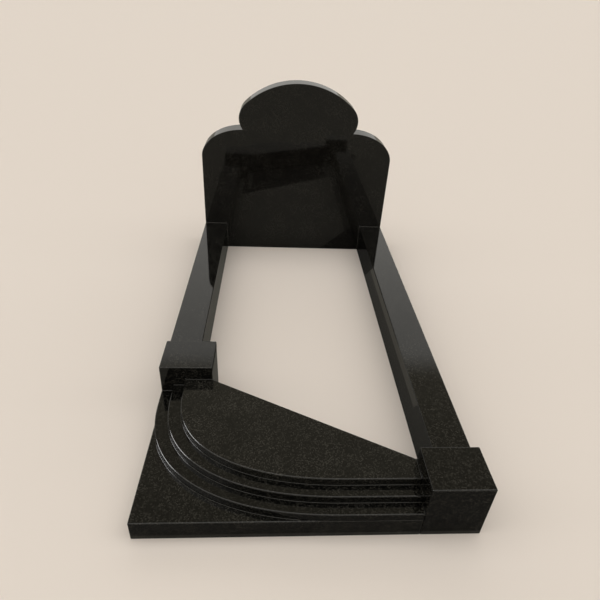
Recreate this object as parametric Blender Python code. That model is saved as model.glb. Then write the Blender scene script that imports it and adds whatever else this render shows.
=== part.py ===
"""Kerbed memorial in black granite: headstone, two kerbs, two corner posts and a stepped front.

Metres, +Z up. The headstone stands at the back (+Y) and the steps lie at the front (-Y).
The origin is on the ground, in the middle of the set's width and length.
"""

import math

import bmesh
import bpy

# Gap left in every joint between two stones
JOINT = 0.0003
# Width of the eased edge that runs round every stone
ARRIS = 0.004

# Outside width of the set, which is also the headstone's width
SET_WIDTH = 1.220

# Headstone, and the height of its shoulders above their straight sides
HEADSTONE_THICKNESS = 0.126
HEADSTONE_HEIGHT = 1.125
SHOULDER_RISE = 0.179
# Crown lobe: half its width, its height above its widest line, the radius of its rounded sides,
# and how far round each side turns inwards below the widest line
CROWN_HALF_WIDTH = 0.372
CROWN_RISE = 0.219
CROWN_SIDE_RADIUS = 0.116
CROWN_UNDERCUT = math.radians(37)

# Kerbs
KERB_WIDTH = 0.148
KERB_HEIGHT = 0.185
RIGHT_KERB_LENGTH = 1.866

# Corner posts, and how far the left post and the steps stand inside the left kerb's outer face
POST_WIDTH = 0.218
POST_DEPTH = 0.168
POST_HEIGHT = 0.250
LEFT_INSET = 0.005

# Stepped front, from the left post's face to the front line, on a base slab
FRONT_DEPTH = 0.555
BASE_HEIGHT = 0.086
SIDE_TREAD = 0.0525
FRONT_TREAD = 0.044
# Rounded corner of the lower step, along the front and along the side, and how square it is
CORNER_ALONG_FRONT = 0.754
CORNER_ALONG_SIDE = 0.489
CORNER_POWER = 2.4
# The courses laid on the base slab, which bring the front up to the level of the kerbs
COURSES = ("step_lower", "step_upper", "top_slab")

# Straight pieces that make up each rounded stretch
CROWN_SEGMENTS = 24
CROWN_SIDE_SEGMENTS = 18
SHOULDER_SEGMENTS = 20
CORNER_SEGMENTS = 36
ARRIS_SEGMENTS = 2
# Only edges that turn more than this are eased
EASED_ANGLE = math.radians(30)

# Polished black granite
GRANITE_COLOUR = (0.0120, 0.0113, 0.0107, 1.0)
GRANITE_ROUGHNESS = 0.08

# Places worked out from the sizes above
half_width = SET_WIDTH / 2
half_length = (HEADSTONE_THICKNESS + RIGHT_KERB_LENGTH + POST_DEPTH) / 2 + JOINT
stone_face = half_length - HEADSTONE_THICKNESS
kerb_back = stone_face - JOINT
front_line = -half_length
left_post_front = front_line + FRONT_DEPTH
left_post_outer = -half_width + LEFT_INSET
left_post_inner = left_post_outer + POST_WIDTH
right_post_inner = half_width - POST_WIDTH


def granite(name):
    """Return a polished black granite for the stone of this name."""
    material = bpy.data.materials.new(name + "_granite")
    material.use_nodes = True
    shader = material.node_tree.nodes["Principled BSDF"]
    shader.inputs["Base Color"].default_value = GRANITE_COLOUR
    shader.inputs["Metallic"].default_value = 0.0
    shader.inputs["Roughness"].default_value = GRANITE_ROUGHNESS
    return material


def stone(name, shape, location):
    """Turn a bmesh into a named stone at its place, with eased edges and its own material."""
    bmesh.ops.recalc_face_normals(shape, faces=shape.faces)
    mesh = bpy.data.meshes.new(name)
    shape.to_mesh(mesh)
    shape.free()
    mesh.materials.append(granite(name))
    mesh.shade_smooth()
    piece = bpy.data.objects.new(name, mesh)
    piece.location = location
    bpy.context.scene.collection.objects.link(piece)
    easing = piece.modifiers.new("eased edges", "BEVEL")
    easing.width = ARRIS
    easing.segments = ARRIS_SEGMENTS
    easing.limit_method = "ANGLE"
    easing.angle_limit = EASED_ANGLE
    easing.harden_normals = True


def block(name, size, corner):
    """Make a rectangular stone on the ground, placed by its left front corner."""
    width, depth, height = size
    shape = bmesh.new()
    bmesh.ops.create_cube(shape, size=1.0)
    bmesh.ops.translate(shape, vec=(0.5, 0.5, 0.5), verts=shape.verts)
    bmesh.ops.scale(shape, vec=(width, depth, height), verts=shape.verts)
    stone(name, shape, (corner[0], corner[1], 0.0))


def pushed_outline(points, push):
    """Return a bmesh made by pushing a closed outline of points along a vector."""
    shape = bmesh.new()
    face = shape.faces.new([shape.verts.new(point) for point in points])
    pushed = bmesh.ops.extrude_face_region(shape, geom=[face])["geom"]
    moved = [item for item in pushed if isinstance(item, bmesh.types.BMVert)]
    bmesh.ops.translate(shape, vec=push, verts=moved)
    return shape


def arc(centre, radii, start, end, segments):
    """Points of an elliptical arc between two angles, anticlockwise."""
    points = []
    for step in range(segments + 1):
        angle = start + (end - start) * step / segments
        points.append((centre[0] + radii[0] * math.cos(angle), centre[1] + radii[1] * math.sin(angle)))
    return points


def headstone():
    """Make the upright slab at the back, with two rounded shoulders and a lobed crown."""
    # The crown's side arc is widest at widest_line and ends in the notch above the shoulder
    side_radii = (CROWN_SIDE_RADIUS, CROWN_SIDE_RADIUS)
    side_centre = (CROWN_HALF_WIDTH - CROWN_SIDE_RADIUS, HEADSTONE_HEIGHT - CROWN_RISE)
    notch_x = side_centre[0] + CROWN_SIDE_RADIUS * math.cos(CROWN_UNDERCUT)
    notch_height = side_centre[1] - CROWN_SIDE_RADIUS * math.sin(CROWN_UNDERCUT)

    # The wide arc over the top runs smoothly into the side arcs
    offsets_squared = side_centre[0] ** 2 + CROWN_RISE**2 - CROWN_SIDE_RADIUS**2
    crown_radius = offsets_squared / (2 * (CROWN_RISE - CROWN_SIDE_RADIUS))
    crown_centre = (0.0, HEADSTONE_HEIGHT - crown_radius)
    meeting = math.acos(side_centre[0] / (crown_radius - CROWN_SIDE_RADIUS))

    shoulder_centre = (notch_x, notch_height - SHOULDER_RISE)
    shoulder_radii = (half_width - notch_x, SHOULDER_RISE)
    shoulder = arc(shoulder_centre, shoulder_radii, 0.0, math.pi / 2, SHOULDER_SEGMENTS)
    side = arc(side_centre, side_radii, -CROWN_UNDERCUT, meeting, CROWN_SIDE_SEGMENTS)
    top = arc(crown_centre, (crown_radius, crown_radius), meeting, math.pi / 2, CROWN_SEGMENTS)

    # The left half mirrors the right half, sharing only the crown's top point
    right = [(half_width, 0.0)] + shoulder + side[1:] + top[1:]
    left = [(-x, z) for x, z in reversed(right[:-1])]
    outline = [(x, 0.0, z) for x, z in right + left]
    shape = pushed_outline(outline, (0.0, HEADSTONE_THICKNESS, 0.0))
    stone("headstone", shape, (0.0, stone_face, 0.0))


def kerbs():
    """Make the two side kerbs, from the headstone's face to the back of each post."""
    left_length = kerb_back - (left_post_front + POST_DEPTH + JOINT)
    left_corner = (-half_width, kerb_back - left_length)
    right_corner = (half_width - KERB_WIDTH, kerb_back - RIGHT_KERB_LENGTH)
    block("kerb_left", (KERB_WIDTH, left_length, KERB_HEIGHT), left_corner)
    block("kerb_right", (KERB_WIDTH, RIGHT_KERB_LENGTH, KERB_HEIGHT), right_corner)


def posts():
    """Make the corner blocks that end the kerbs, flush outside and wider than them inside."""
    post_size = (POST_WIDTH, POST_DEPTH, POST_HEIGHT)
    block("post_left", post_size, (left_post_outer, left_post_front))
    block("post_right", post_size, (right_post_inner, front_line))


def front_outline(setback, rounded):
    """Return a front layer's plan and its left front corner, set back by a number of treads."""
    left = left_post_outer + setback * SIDE_TREAD
    front = front_line + setback * FRONT_TREAD
    back = left_post_front - JOINT
    right = right_post_inner - JOINT

    # Every rounded corner is a squarish quarter round about the same centre
    corner = [(left, front)]
    if rounded:
        across = min(CORNER_ALONG_FRONT - setback * SIDE_TREAD, right - left)
        along = min(CORNER_ALONG_SIDE - setback * FRONT_TREAD, back - front)
        centre = (left + across, front + along)
        corner = []
        for step in range(CORNER_SEGMENTS + 1):
            angle = math.pi / 2 * step / CORNER_SEGMENTS
            reach_x = across * max(math.cos(angle), 0.0) ** (2 / CORNER_POWER)
            reach_y = along * math.sin(angle) ** (2 / CORNER_POWER)
            corner.append((centre[0] - reach_x, centre[1] - reach_y))

    # The back edge slants from the left post's inner corner to the right post's
    slant = [(right, front_line + POST_DEPTH), (left_post_inner, back)]
    plan = [(left, back)] + corner + [(right, front)] + slant
    return [(x - left, y - front, 0.0) for x, y in plan], (left, front)


def stepped_front():
    """Make the base slab and the courses that lie on it, up to the level of the kerbs."""
    plan, corner = front_outline(0, rounded=False)
    stone("base_slab", pushed_outline(plan, (0.0, 0.0, BASE_HEIGHT)), (*corner, 0.0))

    rise = (KERB_HEIGHT - BASE_HEIGHT) / len(COURSES)
    for setback, name in enumerate(COURSES):
        plan, corner = front_outline(setback, rounded=True)
        underside = BASE_HEIGHT + setback * rise + JOINT
        stone(name, pushed_outline(plan, (0.0, 0.0, rise - JOINT)), (*corner, underside))


for old in list(bpy.data.objects):
    bpy.data.objects.remove(old)

headstone()
kerbs()
posts()
stepped_front()
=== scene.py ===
"""Kerbed memorial in black polished granite: the looks of every stone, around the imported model."""

import math

import bmesh
import bpy
from mathutils import Matrix, Vector


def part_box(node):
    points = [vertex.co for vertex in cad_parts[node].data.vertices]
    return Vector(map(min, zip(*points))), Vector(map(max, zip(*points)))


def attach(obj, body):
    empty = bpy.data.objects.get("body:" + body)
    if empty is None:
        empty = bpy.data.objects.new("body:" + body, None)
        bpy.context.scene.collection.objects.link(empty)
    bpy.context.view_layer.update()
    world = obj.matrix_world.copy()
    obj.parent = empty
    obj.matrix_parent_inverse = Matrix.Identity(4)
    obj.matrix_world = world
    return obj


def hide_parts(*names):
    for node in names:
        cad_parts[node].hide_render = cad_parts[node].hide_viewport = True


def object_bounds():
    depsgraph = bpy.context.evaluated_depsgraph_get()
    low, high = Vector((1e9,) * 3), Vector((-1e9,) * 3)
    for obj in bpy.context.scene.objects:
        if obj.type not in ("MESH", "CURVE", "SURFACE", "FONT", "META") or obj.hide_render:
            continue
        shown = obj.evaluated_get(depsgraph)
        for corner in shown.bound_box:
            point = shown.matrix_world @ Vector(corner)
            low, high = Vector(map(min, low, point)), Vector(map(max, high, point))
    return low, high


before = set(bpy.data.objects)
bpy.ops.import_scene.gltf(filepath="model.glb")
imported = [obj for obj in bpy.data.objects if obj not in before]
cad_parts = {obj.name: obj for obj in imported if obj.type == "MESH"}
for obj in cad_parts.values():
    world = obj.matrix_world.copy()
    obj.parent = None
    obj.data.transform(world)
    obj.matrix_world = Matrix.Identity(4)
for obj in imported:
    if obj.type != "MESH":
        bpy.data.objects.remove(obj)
cad_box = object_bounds()
scene = bpy.context.scene
scene.view_settings.view_transform = "Standard"

# Camera at the photograph's viewpoint: standing height, a little left of the middle of the set,
# turned slightly to the right, looking down over the steps to the headstone, and held a bit askew.
# Its angles are in radians, its lens and sensor in millimetres.
EYE = Vector((-0.147, -1.987, 1.653))
TILT_DOWN = 0.5304
TURN_RIGHT = 0.0742
HELD_ASKEW = 0.0599
SENSOR_WIDTH = 36.0
LENS = 28.16
SHIFT = (-0.0038, -0.0713)

camera = bpy.data.objects.new("camera", bpy.data.cameras.new("camera"))
camera.data.sensor_width = SENSOR_WIDTH
camera.data.lens = LENS
camera.data.shift_x, camera.data.shift_y = SHIFT
aim = (
    Matrix.Rotation(-TURN_RIGHT, 4, "Z")
    @ Matrix.Rotation(math.pi / 2 - TILT_DOWN, 4, "X")
    @ Matrix.Rotation(HELD_ASKEW, 4, "Z")
)
camera.matrix_world = Matrix.Translation(EYE) @ aim
scene.collection.objects.link(camera)
scene.camera = camera

# Floor: plain, pale and slightly warm, like seamless backing paper, and far wider than the view.
# Painted shade: its colour is darker for reflected rays, so the stones' polish mirrors a shaded floor
# while the eye sees it pale.
FLOOR_HALF = 500.0
FLOOR_COLOUR = (0.75, 0.685, 0.645, 1.0)
FLOOR_PAINTED_SHADE_IN_POLISH = (0.27, 0.26, 0.235, 1.0)

paper = bmesh.new()
bmesh.ops.create_grid(paper, x_segments=1, y_segments=1, size=FLOOR_HALF)
floor_mesh = bpy.data.meshes.new("floor")
paper.to_mesh(floor_mesh)
paper.free()
floor = bpy.data.objects.new("floor", floor_mesh)
scene.collection.objects.link(floor)

floor_look = bpy.data.materials.new("backing_paper")
floor_look.use_nodes = True
floor_nodes = floor_look.node_tree.nodes
floor_links = floor_look.node_tree.links
floor_shader = floor_nodes["Principled BSDF"]
floor_shader.inputs["Roughness"].default_value = 0.9
floor_shader.inputs["Specular IOR Level"].default_value = 0.1
# Painted shade: reflected rays see the darker floor colour instead of the pale one
ray_kind = floor_nodes.new("ShaderNodeLightPath")
floor_tone = floor_nodes.new("ShaderNodeMix")
floor_tone.data_type = "RGBA"
floor_tone.inputs["A"].default_value = FLOOR_COLOUR
floor_tone.inputs["B"].default_value = FLOOR_PAINTED_SHADE_IN_POLISH
floor_links.new(ray_kind.outputs["Is Glossy Ray"], floor_tone.inputs["Factor"])
floor_links.new(floor_tone.outputs["Result"], floor_shader.inputs["Base Color"])
floor_mesh.materials.append(floor_look)

# Studio light: a white wall stands beyond the headstone, dark ceiling above it, then one long
# soft light that runs overhead from side to side, and a dim room behind the camera with a paler
# wall at its end. To the eye the room is one plain backdrop in the floor's tone.

# Turn in degrees, from the horizon ahead over the top to the one behind, brightness, and warmth
ROOM_BRIGHTNESS = (
    (0, 0.62, 0.3), (13, 0.70, 0.3), (25, 1.06, 0.3), (42, 0.98, 0.3), (44.5, 0.32, 1.0),
    (66, 0.22, 1.0), (71, 1.8, 0.3), (110, 1.8, 0.3), (117, 0.34, 0.5), (140, 0.34, 0.5),
    (146, 0.55, 0.5), (160, 0.55, 0.5), (163, 1.1, 0.5), (180, 1.1, 0.5),
)
# What full warmth takes from red, green and blue
WARM_LOSS = (0.0, 0.09, 0.31)
BACKDROP = (0.77, 0.68, 0.57, 1.0)

room = bpy.data.worlds.new("studio")
room.use_nodes = True
scene.world = room
room_nodes = room.node_tree.nodes
room_links = room.node_tree.links
direction = room_nodes.new("ShaderNodeTexCoord")
parts_of_it = room_nodes.new("ShaderNodeSeparateXYZ")
turn = room_nodes.new("ShaderNodeMath")
turn.operation = "ARCTAN2"
half_turns = room_nodes.new("ShaderNodeMath")
half_turns.operation = "DIVIDE"
half_turns.inputs[1].default_value = math.pi
brightness = room_nodes.new("ShaderNodeValToRGB")
room_links.new(direction.outputs["Generated"], parts_of_it.inputs["Vector"])
room_links.new(parts_of_it.outputs["Z"], turn.inputs[0])
room_links.new(parts_of_it.outputs["Y"], turn.inputs[1])
room_links.new(turn.outputs["Value"], half_turns.inputs[0])
room_links.new(half_turns.outputs["Value"], brightness.inputs["Fac"])
seen_by = room_nodes.new("ShaderNodeLightPath")
room_tone = room_nodes.new("ShaderNodeMix")
room_tone.data_type = "RGBA"
room_tone.inputs["B"].default_value = BACKDROP
room_links.new(seen_by.outputs["Is Camera Ray"], room_tone.inputs["Factor"])
room_links.new(brightness.outputs["Color"], room_tone.inputs["A"])
room_links.new(room_tone.outputs["Result"], room_nodes["Background"].inputs["Color"])
stops = brightness.color_ramp.elements
stops.remove(stops[-1])
for number, (degrees, value, warmth) in enumerate(ROOM_BRIGHTNESS):
    stop = stops[0] if number == 0 else stops.new(degrees / 180)
    stop.position = degrees / 180
    stop.color = [value * (1 - loss * warmth) for loss in WARM_LOSS] + [1.0]

# Painted shadows: dark sheets lie on the floor, and only the polish sees them. One before the set
# is painted shade that keeps the fronts darker than the tops. The others paint the shadows on the
# ground that the headstone, kerbs and post mirror: behind the steps, beside the post and each kerb,
# and in the corner by the headstone.
SHADOW_SHEET_TINT = (1.0, 0.968, 0.884)
SHADOW_SHEET_LIFT = 0.0005
FRONT_SHADOW_GAP = 0.01
FRONT_SHADOW_DEPTH = 0.15
FRONT_SHADOW_PAST_LEFT = 0.03
FRONT_SHADOW_PAST_RIGHT = 0.15
SHORT_KERB_SHADE = 0.038
LONG_KERB_SHADE = 0.052
POST_SHADE = 0.037
POST_SHADE_TO_Y = -0.12
STEPS_SHADE_SHORT_OF_POST = 0.032
STEPS_SHADE_TO_Y = (0.0, -0.479)
CORNER_SHADE_FROM_Y = 0.60
CORNER_SHADE_TO_X = 0.19

# The stones round the painted shadows: the short kerb and its post, the long kerb and its end post
kerb_low, kerb_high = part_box("kerb_left")
post_low, post_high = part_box("post_left")
end_kerb_low, end_kerb_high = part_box("kerb_right")
end_post_low, end_post_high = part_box("post_right")
stone_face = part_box("headstone")[0].y

# The painted shade before the set, which darkens the fronts in the polish
front_shadow_left = cad_box[0][0] - FRONT_SHADOW_PAST_LEFT
front_shadow_right = cad_box[1][0] + FRONT_SHADOW_PAST_RIGHT
front_shadow_far = cad_box[0][1] - FRONT_SHADOW_GAP
front_shadow_near = front_shadow_far - FRONT_SHADOW_DEPTH
kerb_shade = kerb_high.x + SHORT_KERB_SHADE
end_kerb_shade = end_kerb_low.x - LONG_KERB_SHADE
post_shade = post_high.x + POST_SHADE
steps_shade = end_post_low.x - STEPS_SHADE_SHORT_OF_POST
steps_back = (post_high.x, post_low.y), (end_post_low.x, end_post_high.y)
shade_end = (kerb_shade, STEPS_SHADE_TO_Y[0]), (steps_shade, STEPS_SHADE_TO_Y[1])
corner_edge = (end_kerb_low.x, CORNER_SHADE_FROM_Y), (CORNER_SHADE_TO_X, stone_face)


def place_on(line, x):
    """The place at x on a straight line between two places."""
    (start_x, start_y), (end_x, end_y) = line
    return x, start_y + (end_y - start_y) * (x - start_x) / (end_x - start_x)


# Brightness of each painted shadow, and its corners in order round it
PAINTED_SHADOWS = {
    "front_painted_shadow": (0.062, (
        (front_shadow_left, front_shadow_near), (front_shadow_right, front_shadow_near), (front_shadow_right, front_shadow_far), (front_shadow_left, front_shadow_far),
    )),
    "steps_painted_shadow": (0.012, (
        (kerb_shade, post_high.y), (post_high.x, post_high.y),
        (post_high.x, POST_SHADE_TO_Y), (post_shade, POST_SHADE_TO_Y),
        place_on(steps_back, post_shade), place_on(steps_back, steps_shade),
        shade_end[1], shade_end[0],
    )),
    "short_kerb_painted_shadow": (0.220, (
        (kerb_high.x, post_high.y), (kerb_shade, post_high.y),
        (kerb_shade, stone_face), (kerb_high.x, stone_face),
    )),
    "short_kerb_post_painted_shadow": (0.160, (
        steps_back[0], place_on(steps_back, post_shade),
        (post_shade, POST_SHADE_TO_Y), (post_high.x, POST_SHADE_TO_Y),
    )),
    "long_kerb_painted_shadow": (0.120, (
        place_on(steps_back, steps_shade), steps_back[1], (end_kerb_low.x, end_post_high.y),
        corner_edge[0], place_on(corner_edge, end_kerb_shade),
        place_on(shade_end, end_kerb_shade), shade_end[1],
    )),
    "corner_painted_shadow": (0.040, (
        corner_edge[0], (end_kerb_low.x, stone_face), corner_edge[1],
    )),
}

# Each painted shadow is a dark sheet that the camera doesn't see, which casts no shadow and gives no
# diffuse light
for name, (tone, outline) in PAINTED_SHADOWS.items():
    shadow_sheet_shape = bmesh.new()
    shadow_sheet_shape.faces.new([shadow_sheet_shape.verts.new((x, y, SHADOW_SHEET_LIFT)) for x, y in outline])
    shadow_sheet_mesh = bpy.data.meshes.new(name)
    shadow_sheet_shape.to_mesh(shadow_sheet_mesh)
    shadow_sheet_shape.free()
    shadow_sheet_look = bpy.data.materials.new(name)
    shadow_sheet_look.use_nodes = True
    shadow_sheet_shader = shadow_sheet_look.node_tree.nodes["Principled BSDF"]
    shadow_sheet_shader.inputs["Base Color"].default_value = [tone * tint for tint in SHADOW_SHEET_TINT] + [1.0]
    shadow_sheet_shader.inputs["Roughness"].default_value = 0.9
    shadow_sheet_mesh.materials.append(shadow_sheet_look)
    shadow_sheet = bpy.data.objects.new(name, shadow_sheet_mesh)
    shadow_sheet.visible_camera = False
    shadow_sheet.visible_diffuse = False
    shadow_sheet.visible_shadow = False
    scene.collection.objects.link(shadow_sheet)

# Edge light: a large soft box on the left, which only the polish catches. It draws the bright
# lines on the round arrises of the steps.
EDGE_LIGHT_PLACE = Vector((-4.2, -0.6, 1.9))
EDGE_LIGHT_AIM = Vector((0.0, -0.7, 0.1))

edge_lamp = bpy.data.lights.new("edge_light", "AREA")
edge_lamp.shape = "RECTANGLE"
edge_lamp.size = 2.4
edge_lamp.size_y = 2.0
edge_lamp.energy = 185.0
edge_light = bpy.data.objects.new("edge_light", edge_lamp)
edge_light.visible_diffuse = False
scene.collection.objects.link(edge_light)
turned = (EDGE_LIGHT_AIM - EDGE_LIGHT_PLACE).to_track_quat("-Z", "Y").to_matrix().to_4x4()
edge_light.matrix_world = Matrix.Translation(EDGE_LIGHT_PLACE) @ turned

# Headstone: an upright slab sawn from one block of black granite and polished on all its faces
# but the foot. Two round shoulders rise to a notch on each side of a wide lobed crown.
HEADSTONE_GROUND = 0.0026
HEADSTONE_GRAIN = 0.6
FINE_ARRIS = 0.004
SHOULDER_RISE = 0.179
CROWN_HALF_WIDTH = 0.372
CROWN_RISE = 0.219
CROWN_SIDE_RADIUS = 0.116
CROWN_UNDERCUT = math.radians(37)
CROWN_STEPS = 56
CROWN_SIDE_STEPS = 40
SHOULDER_STEPS = 48
EASED_FROM = math.radians(30)

# Crystal sizes in metres, and tones as share of the crystals and brightness
COARSE_CRYSTAL = 0.0042
COARSE_TONES = ((0.0, 0.0), (0.60, 0.0003), (0.70, 0.0085), (1.0, 0.0205))
FINE_CRYSTAL = 0.0016
FLECK_TONES = ((0.0, 0.0), (0.75, 0.0004), (0.96, 0.0040), (1.0, 0.0140))
CRYSTAL_TINT = (1.0, 0.95, 0.82)
BLACK_GROUND = 0.0003


def polished_granite(name, block_offset, ground, grain):
    """Black granite under a mirror polish: black ground, grey crystals and a few light flecks."""
    look = bpy.data.materials.new(name)
    look.use_nodes = True
    nodes, links = look.node_tree.nodes, look.node_tree.links
    shader = nodes["Principled BSDF"]
    shader.inputs["IOR"].default_value = 1.5

    # Each stone shows another place in the same block
    place = nodes.new("ShaderNodeTexCoord")
    in_block = nodes.new("ShaderNodeMapping")
    in_block.inputs["Location"].default_value = block_offset
    links.new(place.outputs["Object"], in_block.inputs["Vector"])

    def crystals(size, tones):
        """Crystals of one size in metres, whose tones come from a ramp of (share, brightness)."""
        cells = nodes.new("ShaderNodeTexVoronoi")
        cells.inputs["Scale"].default_value = 1.0 / size
        channel = nodes.new("ShaderNodeSeparateColor")
        ramp = nodes.new("ShaderNodeValToRGB")
        links.new(in_block.outputs["Vector"], cells.inputs["Vector"])
        links.new(cells.outputs["Color"], channel.inputs["Color"])
        links.new(channel.outputs["Red"], ramp.inputs["Fac"])
        ends = ramp.color_ramp.elements
        for order, (share, tone) in enumerate(tones):
            end = ends[order] if order < 2 else ends.new(share)
            end.position = share
            end.color = [tone * tint for tint in CRYSTAL_TINT] + [1.0]
        return cells, ramp.outputs["Color"]

    grey_tones = [(share, ground + grain * tone) for share, tone in COARSE_TONES]
    coarse_cells, coarse = crystals(COARSE_CRYSTAL, grey_tones)
    _, fine = crystals(FINE_CRYSTAL, FLECK_TONES)
    both = nodes.new("ShaderNodeMix")
    both.data_type = "RGBA"
    both.blend_type = "ADD"
    both.inputs["Factor"].default_value = 1.0
    links.new(coarse, both.inputs["A"])
    links.new(fine, both.inputs["B"])

    # Slow changes of tone through the block, a hand's breadth across
    clouds = nodes.new("ShaderNodeTexNoise")
    clouds.inputs["Scale"].default_value = 9.0
    clouds.inputs["Detail"].default_value = 3.0
    cloud_tone = nodes.new("ShaderNodeMapRange")
    cloud_tone.inputs["From Min"].default_value = 0.3
    cloud_tone.inputs["From Max"].default_value = 0.7
    cloud_tone.inputs["To Min"].default_value = 0.75
    cloud_tone.inputs["To Max"].default_value = 1.3
    clouded = nodes.new("ShaderNodeVectorMath")
    clouded.operation = "SCALE"
    links.new(in_block.outputs["Vector"], clouds.inputs["Vector"])
    links.new(clouds.outputs["Fac"], cloud_tone.inputs["Value"])
    links.new(both.outputs["Result"], clouded.inputs[0])
    links.new(cloud_tone.outputs["Result"], clouded.inputs["Scale"])
    links.new(clouded.outputs["Vector"], shader.inputs["Base Color"])

    # Soft and hard crystals take the polish a little differently
    polish = nodes.new("ShaderNodeMapRange")
    polish.inputs["To Min"].default_value = 0.02
    polish.inputs["To Max"].default_value = 0.07
    links.new(coarse_cells.outputs["Distance"], polish.inputs["Value"])
    links.new(polish.outputs["Result"], shader.inputs["Roughness"])
    relief = nodes.new("ShaderNodeBump")
    relief.inputs["Strength"].default_value = 0.02
    relief.inputs["Distance"].default_value = 0.0001
    links.new(coarse_cells.outputs["Distance"], relief.inputs["Height"])
    links.new(relief.outputs["Normal"], shader.inputs["Normal"])
    return look


def sawn_granite():
    """The same stone as the saw leaves it: grey, rough, with faint parallel saw marks."""
    look = bpy.data.materials.new("sawn_granite")
    look.use_nodes = True
    nodes, links = look.node_tree.nodes, look.node_tree.links
    shader = nodes["Principled BSDF"]
    shader.inputs["Roughness"].default_value = 0.75
    place = nodes.new("ShaderNodeTexCoord")
    speckle = nodes.new("ShaderNodeTexNoise")
    speckle.inputs["Scale"].default_value = 420.0
    tone = nodes.new("ShaderNodeValToRGB")
    tone.color_ramp.elements[0].position = 0.35
    tone.color_ramp.elements[0].color = (0.035, 0.034, 0.032, 1.0)
    tone.color_ramp.elements[1].position = 0.75
    tone.color_ramp.elements[1].color = (0.16, 0.155, 0.148, 1.0)
    marks = nodes.new("ShaderNodeTexWave")
    marks.inputs["Scale"].default_value = 55.0
    marks.inputs["Distortion"].default_value = 2.0
    relief = nodes.new("ShaderNodeBump")
    relief.inputs["Strength"].default_value = 0.4
    relief.inputs["Distance"].default_value = 0.0005
    links.new(place.outputs["Object"], speckle.inputs["Vector"])
    links.new(place.outputs["Object"], marks.inputs["Vector"])
    links.new(speckle.outputs["Fac"], tone.inputs["Fac"])
    links.new(tone.outputs["Color"], shader.inputs["Base Color"])
    links.new(marks.outputs["Fac"], relief.inputs["Height"])
    links.new(relief.outputs["Normal"], shader.inputs["Normal"])
    return look


sawn = sawn_granite()


def swing(shape, corner, centre, axis, angle, steps):
    """Swing an outline's last corner round a centre, leaving an arc of edges behind it."""
    swept = bmesh.ops.spin(
        shape, geom=[corner], cent=centre, axis=axis, angle=angle, steps=steps, use_duplicate=False
    )
    return swept["geom_last"][0]


def run_to(shape, corner, point):
    """Run a straight edge from an outline's last corner to a point."""
    end = bmesh.ops.extrude_vert_indiv(shape, verts=[corner])["verts"][0]
    end.co = point
    return end


def close_and_push(shape, push):
    """Close an outline with a last straight edge, fill it and push it out to a solid."""
    ends = [corner for corner in shape.verts if len(corner.link_edges) == 1]
    bmesh.ops.contextual_create(shape, geom=ends)
    face = bmesh.ops.edgeloop_fill(shape, edges=shape.edges)["faces"][0]
    pushed = bmesh.ops.extrude_face_region(shape, geom=[face])["geom"]
    moved = [item for item in pushed if isinstance(item, bmesh.types.BMVert)]
    bmesh.ops.translate(shape, vec=push, verts=moved)


def set_stone(name, node, shape, block_offset, ground=BLACK_GROUND, grain=1.0, left_sharp=()):
    """Finish a stone: polished faces, a sawn foot, arrises above it, and its place in the set."""
    bmesh.ops.recalc_face_normals(shape, faces=shape.faces)
    for face in shape.faces:
        face.smooth = True
        faces_down = face.normal.z < -0.9
        face.material_index = 1 if faces_down else 0
    weight = shape.edges.layers.float.new("bevel_weight_edge")
    for edge in shape.edges:
        at_foot = any(face.material_index == 1 for face in edge.link_faces)
        turns = edge.calc_face_angle() > EASED_FROM
        eased = turns and not at_foot and edge not in left_sharp
        edge[weight] = float(eased)
        edge.smooth = eased or not turns
    mesh = bpy.data.meshes.new(name)
    shape.to_mesh(mesh)
    shape.free()
    mesh.materials.append(polished_granite(name + "_polish", block_offset, ground, grain))
    mesh.materials.append(sawn)
    stone = bpy.data.objects.new(name, mesh)
    scene.collection.objects.link(stone)
    easing = stone.modifiers.new("eased edges", "BEVEL")
    easing.width = FINE_ARRIS
    easing.segments = 4
    easing.limit_method = "WEIGHT"
    easing.harden_normals = True
    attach(stone, "root")
    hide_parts(node)


low, high = (Vector(corner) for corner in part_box("headstone"))
side_centre = Vector((CROWN_HALF_WIDTH - CROWN_SIDE_RADIUS, low.y, high.z - CROWN_RISE))
offsets_squared = side_centre.x**2 + CROWN_RISE**2 - CROWN_SIDE_RADIUS**2
crown_radius = offsets_squared / (2 * (CROWN_RISE - CROWN_SIDE_RADIUS))
crown_centre = Vector((0.0, low.y, high.z - crown_radius))
crown_angle = math.asin(side_centre.x / (crown_radius - CROWN_SIDE_RADIUS))
side_angle = math.pi / 2 + CROWN_UNDERCUT - crown_angle

shape = bmesh.new()
crown_top = shape.verts.new((0.0, low.y, high.z))
crown_end = swing(shape, crown_top, crown_centre, (0, 1, 0), crown_angle, CROWN_STEPS)
notch = swing(shape, crown_end, side_centre, (0, 1, 0), side_angle, CROWN_SIDE_STEPS)

# A quarter circle from the notch, stretched sideways to the stone's full width
shoulder_centre = notch.co - Vector((0.0, 0.0, SHOULDER_RISE))
before = set(shape.verts)
spring = swing(shape, notch, shoulder_centre, (0, 1, 0), math.pi / 2, SHOULDER_STEPS)
bmesh.ops.scale(
    shape,
    vec=((high.x - notch.co.x) / SHOULDER_RISE, 1.0, 1.0),
    space=Matrix.Translation(-notch.co),
    verts=[corner for corner in shape.verts if corner not in before],
)
run_to(shape, spring, (high.x, low.y, low.z))
half = shape.verts[:] + shape.edges[:]
bmesh.ops.mirror(shape, geom=half, matrix=Matrix(), merge_dist=1e-5, axis="X")
close_and_push(shape, (0.0, high.y - low.y, 0.0))
set_stone("lobed_headstone", "headstone", shape, (0, 0, 0), HEADSTONE_GROUND, HEADSTONE_GRAIN)

# Kerbs and corner posts: square bars and blocks of the same granite, polished on the faces that
# show and laid on their sawn undersides. The posts are wider and taller and end each kerb.

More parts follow.
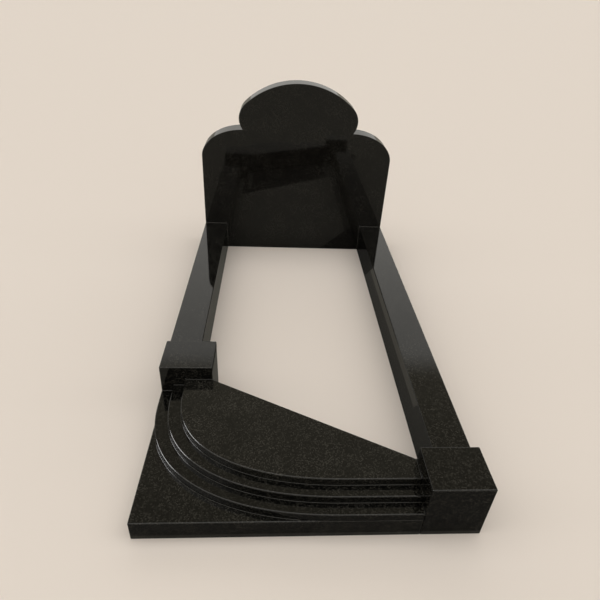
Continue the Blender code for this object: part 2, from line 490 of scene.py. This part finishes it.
# The CAD node that each bar stands for, and its place in the block
BARS = {
    "short_kerb": ("kerb_left", (2.3, 0.0, 0.4)),
    "long_kerb": ("kerb_right", (4.0, 0.9, 0.4)),
    "short_kerb_post": ("post_left", (5.7, 1.8, 0.4)),
    "long_kerb_post": ("post_right", (7.4, 2.7, 0.4)),
}

for name, (node, block_offset) in BARS.items():
    low, high = (Vector(corner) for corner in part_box(node))
    shape = bmesh.new()
    bmesh.ops.create_cube(shape, size=1.0)
    bmesh.ops.scale(shape, vec=high - low, verts=shape.verts)
    bmesh.ops.translate(shape, vec=(low + high) / 2, verts=shape.verts)
    set_stone(name, node, shape, block_offset)

# Stepped front: a base slab and three thinner courses laid on it, each set back from the one
# below and rounded at the left front corner. All end at the back on one slanting line. They come
# from lighter and darker parts of the block.
CORNER_ALONG_FRONT = 0.754
CORNER_ALONG_SIDE = 0.489
CORNER_POWER = 2.4
CORNER_STEPS = 96
BASE_GROUND = 0.0013
HAIR = 0.001

# For each course its CAD node, its place in the block, its ground tone and strength of grain
COURSES = {
    "first_step": ("step_lower", (4.0, 0.0, 2.2), 0.0, 0.8),
    "second_step": ("step_upper", (4.0, 1.3, 3.0), 0.0, 0.8),
    "level_top": ("top_slab", (4.0, 2.6, 3.8), 0.0034, 1.0),
}

base_low, base_high = (Vector(corner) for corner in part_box("base_slab"))
corner_centre = base_low + Vector((CORNER_ALONG_FRONT, CORNER_ALONG_SIDE, 0.0))


def close_at_back(shape, corner, low, high):
    """Run a front layer's outline along the right post and the slanting back, and make it solid."""
    corner = run_to(shape, corner, (high.x, low.y, low.z))
    corner = run_to(shape, corner, (high.x, end_post_high.y, low.z))
    corner = run_to(shape, corner, (post_high.x, high.y, low.z))
    run_to(shape, corner, (low.x, high.y, low.z))
    close_and_push(shape, (0.0, 0.0, high.z - low.z))


# The base keeps a sharp edge where the first step comes flush with its front
shape = bmesh.new()
flush_from = run_to(shape, shape.verts.new(base_low), (corner_centre.x, base_low.y, base_low.z))
close_at_back(shape, flush_from, base_low, base_high)
under_step = [
    edge
    for edge in shape.edges
    if all(
        corner.co.x > corner_centre.x - HAIR
        and corner.co.y < base_low.y + HAIR
        and corner.co.z > base_high.z - HAIR
        for corner in edge.verts
    )
]
set_stone("front_base", "base_slab", shape, (0.6, 5.1, 0.7), BASE_GROUND, left_sharp=under_step)


def round_corner(shape, low):
    """Draw a course's round corner: a quarter circle, squared up and stretched to the course."""
    across, along = corner_centre.x - low.x, corner_centre.y - low.y
    start = shape.verts.new((-1.0, 0.0, 0.0))
    last = swing(shape, start, (0, 0, 0), (0, 0, 1), math.pi / 2, CORNER_STEPS)
    for corner in shape.verts:
        corner.co.x = corner_centre.x - across * abs(corner.co.x) ** (2 / CORNER_POWER)
        corner.co.y = corner_centre.y - along * abs(corner.co.y) ** (2 / CORNER_POWER)
        corner.co.z = low.z
    return start, last


for name, (node, block_offset, ground, grain) in COURSES.items():
    low, high = (Vector(corner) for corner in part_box(node))
    shape = bmesh.new()
    _, last = round_corner(shape, low)
    close_at_back(shape, last, low, high)
    set_stone(name, node, shape, block_offset, ground, grain)

# Joints: thin beads of clear sealer, wiped round, along the foot of each course and where posts,
# kerbs and headstone meet the stones beside them. They catch the light like a second arris.
BEAD = 0.003
WIDE_BEAD = 0.005
WIPED_SHARE = 0.6

sealer = bpy.data.materials.new("joint_sealer")
sealer.use_nodes = True
sealer_nodes, sealer_links = sealer.node_tree.nodes, sealer.node_tree.links
sealer_shader = sealer_nodes["Principled BSDF"]
sealer_place = sealer_nodes.new("ShaderNodeTexCoord")
sealer_waves = sealer_nodes.new("ShaderNodeTexNoise")
sealer_waves.inputs["Scale"].default_value = 60.0
sealer_tone = sealer_nodes.new("ShaderNodeValToRGB")
sealer_tone.color_ramp.elements[0].position = 0.3
sealer_tone.color_ramp.elements[0].color = (0.010, 0.0095, 0.008, 1.0)
sealer_tone.color_ramp.elements[1].position = 0.7
sealer_tone.color_ramp.elements[1].color = (0.020, 0.019, 0.016, 1.0)
sealer_gloss = sealer_nodes.new("ShaderNodeMapRange")
sealer_gloss.inputs["To Min"].default_value = 0.06
sealer_gloss.inputs["To Max"].default_value = 0.22
sealer_links.new(sealer_place.outputs["Object"], sealer_waves.inputs["Vector"])
sealer_links.new(sealer_waves.outputs["Fac"], sealer_tone.inputs["Fac"])
sealer_links.new(sealer_tone.outputs["Color"], sealer_shader.inputs["Base Color"])
sealer_links.new(sealer_waves.outputs["Fac"], sealer_gloss.inputs["Value"])
sealer_links.new(sealer_gloss.outputs["Result"], sealer_shader.inputs["Roughness"])


def run_bead(name, shape, up, away, size=BEAD):
    """Thicken a joint line into a bead: up along one stone and away from it along the other."""
    line = shape.edges[:]
    raised = bmesh.ops.extrude_edge_only(shape, edges=line)["geom"]
    moved = [item for item in raised if isinstance(item, bmesh.types.BMVert)]
    bmesh.ops.translate(shape, vec=Vector(up) * size, verts=moved)
    shape.normal_update()
    side = sum((face.normal for face in shape.faces), Vector()).dot(Vector(away))
    if side < 0:
        bmesh.ops.reverse_faces(shape, faces=shape.faces)
    shape.normal_update()
    bmesh.ops.solidify(shape, geom=shape.faces[:], thickness=-size)
    bmesh.ops.recalc_face_normals(shape, faces=shape.faces)
    for face in shape.faces:
        face.smooth = True
    mesh = bpy.data.meshes.new(name)
    shape.to_mesh(mesh)
    shape.free()
    mesh.materials.append(sealer)
    bead = bpy.data.objects.new(name, mesh)
    scene.collection.objects.link(bead)
    wiping = bead.modifiers.new("wiped round", "BEVEL")
    wiping.width = size * WIPED_SHARE
    wiping.segments = 3
    wiping.harden_normals = True
    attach(bead, "root")


for name, (node, _, _, _) in COURSES.items():
    low, high = (Vector(corner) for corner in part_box(node))
    shape = bmesh.new()
    start, last = round_corner(shape, low)
    if name == "first_step":
        flush = [
            corner
            for corner in shape.verts
            if corner.co.x < base_low.x + 2 * BEAD or corner.co.y < base_low.y + 2 * BEAD
        ]
        bmesh.ops.delete(shape, geom=flush, context="VERTS")
    else:
        run_to(shape, start, (low.x, high.y, low.z))
        run_to(shape, last, (high.x, low.y, low.z))
    run_bead(name + "_foot_bead", shape, (0, 0, 1), (-1, -1, 0))

# The straight joints: start, end, the way up one stone and the way out along the other
ALONG, UP = Vector((1, 0, 0)), Vector((0, 0, 1))
TO_FRONT, TO_BACK = Vector((0, -1, 0)), Vector((0, 1, 0))
left, inner_left = kerb_low.x, kerb_high.x
inner_right, right = end_kerb_low.x, end_kerb_high.x
post_back = post_high.y
end_post_back = end_post_high.y
top = kerb_high.z
joints = {
    "headstone_left": (
        (left, stone_face, top), (inner_left, stone_face, top), UP, TO_FRONT,
    ),
    "headstone_right": (
        (inner_right, stone_face, top), (right, stone_face, top), UP, TO_FRONT,
    ),
    "headstone_left_side": (
        (inner_left, stone_face, BEAD), (inner_left, stone_face, top), ALONG, TO_FRONT,
    ),
    "headstone_right_side": (
        (inner_right, stone_face, BEAD), (inner_right, stone_face, top), -ALONG, TO_FRONT,
    ),
    "post_left_back": (
        (post_low.x, post_back, top), (inner_left, post_back, top), UP, TO_BACK,
    ),
    "post_left_side": (
        (inner_left, post_back, BEAD), (inner_left, post_back, top), ALONG, TO_BACK,
    ),
    "post_right_back": (
        (inner_right, end_post_back, top), (end_post_high.x, end_post_back, top), UP, TO_BACK,
    ),
    "post_right_side": (
        (inner_right, end_post_back, BEAD), (inner_right, end_post_back, top), -ALONG, TO_BACK,
    ),
}

# Each course meets both posts; its joint stops where the course above covers it
covered = Vector((post_high.x, end_post_back, 0.0))
for name, (node, _, _, _) in reversed(COURSES.items()):
    low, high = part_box(node)
    joints[name + "_at_left_post"] = (
        (low.x, post_low.y, high.z), (covered.x, post_low.y, high.z), UP, TO_FRONT,
    )
    joints[name + "_at_right_post"] = (
        (end_post_low.x, low.y, high.z), (end_post_low.x, covered.y, high.z), UP, -ALONG,
    )
    covered = low

for name, (start, end, up, away) in joints.items():
    shape = bmesh.new()
    into_notch = up * -BEAD / 2
    run_to(shape, shape.verts.new(Vector(start) + into_notch), Vector(end) + into_notch)
    size = WIDE_BEAD if name.startswith("headstone") else BEAD
    run_bead(name + "_bead", shape, up, away, size)
